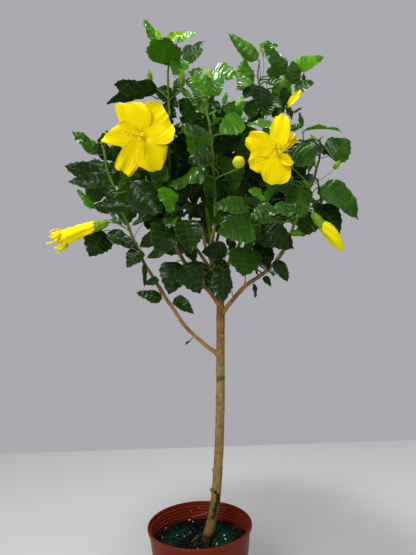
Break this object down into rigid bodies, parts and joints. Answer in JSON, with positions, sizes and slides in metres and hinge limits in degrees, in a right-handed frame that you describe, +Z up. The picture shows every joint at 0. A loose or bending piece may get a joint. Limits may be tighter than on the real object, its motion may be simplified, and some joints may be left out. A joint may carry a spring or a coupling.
{
  "type": "potted hibiscus standard",
  "caption": "Hibiscus grown as a standard: a slim woody stem, a round open head of glossy leaves with yellow flowers, and a tapered round nursery pot of soil.",
  "frame": {"origin": "centre of the pot's flat underside", "axes": "+Z up, +X to the right seen from the front, +Y towards the back of the plant"},
  "size_m": [0.5901, 0.4607, 1.185],
  "materials": {
    "pot": "satin",
    "soil": "matte",
    "stem": "matte",
    "bough": "matte",
    "leaves": "satin"
  },
  "bodies": {
    "root": {"pot": "pot", "soil": "soil", "trunk": "stem", "leader": "bough", "bough_low_left": "bough", "bough_left": "bough", "bough_right": "bough", "bough_centre": "bough", "bough_front": "bough", "bough_back_right": "bough", "bough_back_left": "bough", "bough_back": "bough", "foliage_top_left": "leaves", "foliage_top_centre": "leaves", "foliage_top_right_inner": "leaves", "foliage_top_right": "leaves", "foliage_right_shoulder": "leaves", "foliage_right_upper": "leaves", "foliage_right": "leaves", "foliage_right_low": "leaves", "foliage_under_right": "leaves", "foliage_fork": "leaves", "foliage_under_left": "leaves", "foliage_low_inner": "leaves", "foliage_low_left": "leaves", "foliage_left_bottom": "leaves", "foliage_left_mid": "leaves", "foliage_left": "leaves", "foliage_left_top": "leaves", "foliage_upper_left": "leaves", "foliage_front_top": "leaves", "foliage_front": "leaves", "foliage_front_right": "leaves", "foliage_front_left": "leaves", "foliage_front_low": "leaves", "foliage_right_inner": "leaves", "foliage_middle_left": "leaves", "foliage_middle_right": "leaves", "foliage_middle": "leaves", "foliage_side_left": "leaves", "foliage_side_right": "leaves", "foliage_back_top": "leaves", "foliage_back_left": "leaves", "foliage_back_right": "leaves", "foliage_back_low_left": "leaves", "foliage_back_low_right": "leaves", "foliage_back": "leaves"}
  },
  "joints": []
}
